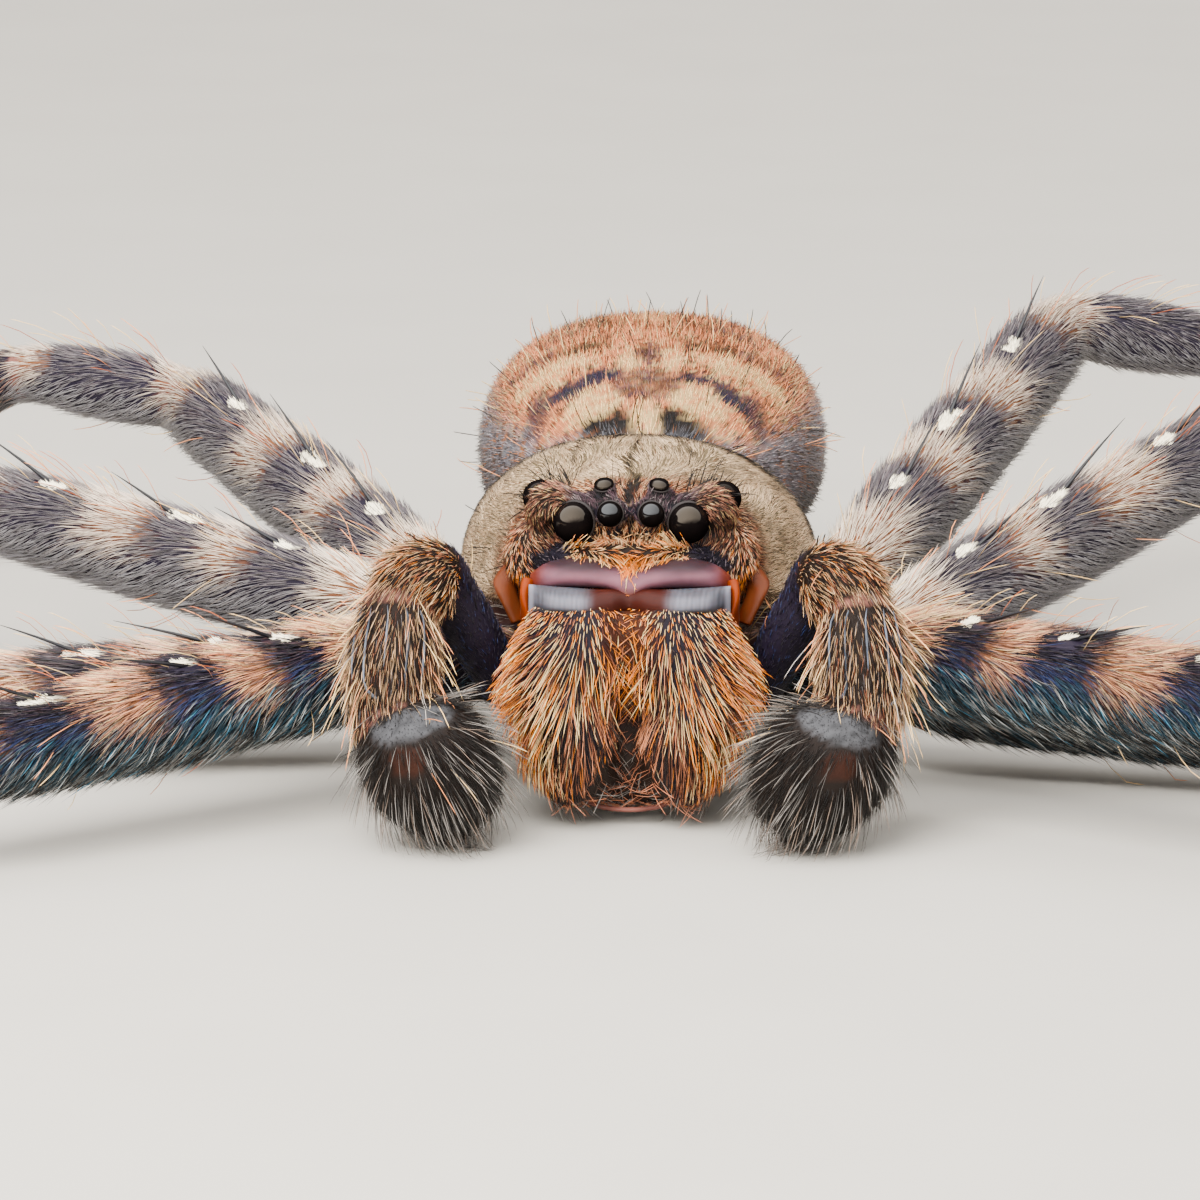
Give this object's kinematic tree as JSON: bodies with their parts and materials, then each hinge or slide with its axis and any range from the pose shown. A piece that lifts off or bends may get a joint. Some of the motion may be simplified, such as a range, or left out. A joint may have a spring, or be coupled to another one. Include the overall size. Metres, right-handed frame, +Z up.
{
  "type": "huntsman spider",
  "caption": "Hairy huntsman spider at rest, legs spread low to both sides, with banded thighs, furry orange jaws, swollen palps and glossy black eyes.",
  "frame": {"origin": "middle of the part's box, on the floor under the feet", "axes": "+Z up, the spider faces -Y, its left legs on -X"},
  "size_m": [0.127, 0.0768, 0.0108],
  "materials": {
    "carapace": "short khaki and cream hair over a dark shell, with a black line down the middle",
    "abdomen": "pink-brown and cream hair with dark patches",
    "thigh": "hair in dark violet and cream bands",
    "shin": "hair in pink-brown, cream and dark bands",
    "foot": "short dark grey hair with pale bristles",
    "jaw": "dense orange and cream bristles over dark violet",
    "belly": "brown hair",
    "horn": "smooth dark horn",
    "eye": "polished black lens"
  },
  "bodies": {
    "root": {"eye_front_middle_left": "eye", "eye_front_middle_right": "eye", "eye_front_side_left": "eye", "eye_front_side_right": "eye", "eye_back_middle_left": "eye", "eye_back_middle_right": "eye", "eye_back_side_left": "eye", "eye_back_side_right": "eye", "carapace": "carapace", "sternum": "belly", "labium": "belly", "maxilla_left": "belly", "maxilla_right": "belly", "chelicera_left": "jaw", "fang_left": "horn", "chelicera_right": "jaw", "fang_right": "horn", "palp_left_femur": "thigh", "palp_left_tibia": "jaw", "palp_left_tarsus": "foot", "palp_right_femur": "thigh", "palp_right_tibia": "jaw", "palp_right_tarsus": "foot", "leg_1_left_coxa": "belly", "leg_1_left_femur": "thigh", "leg_1_left_tibia": "shin", "leg_1_left_foot": "foot", "leg_2_left_coxa": "belly", "leg_2_left_femur": "thigh", "leg_2_left_tibia": "shin", "leg_2_left_foot": "foot", "leg_3_left_coxa": "belly", "leg_3_left_femur": "thigh", "leg_3_left_tibia": "shin", "leg_3_left_foot": "foot", "leg_4_left_coxa": "belly", "leg_4_left_femur": "thigh", "leg_4_left_tibia": "shin", "leg_4_left_foot": "foot", "leg_1_right_coxa": "belly", "leg_1_right_femur": "thigh", "leg_1_right_tibia": "shin", "leg_1_right_foot": "foot", "leg_2_right_coxa": "belly", "leg_2_right_femur": "thigh", "leg_2_right_tibia": "shin", "leg_2_right_foot": "foot", "leg_3_right_coxa": "belly", "leg_3_right_femur": "thigh", "leg_3_right_tibia": "shin", "leg_3_right_foot": "foot", "leg_4_right_coxa": "belly", "leg_4_right_femur": "thigh", "leg_4_right_tibia": "shin", "leg_4_right_foot": "foot", "abdomen": "abdomen", "spinnerets": "belly"}
  },
  "joints": []
}
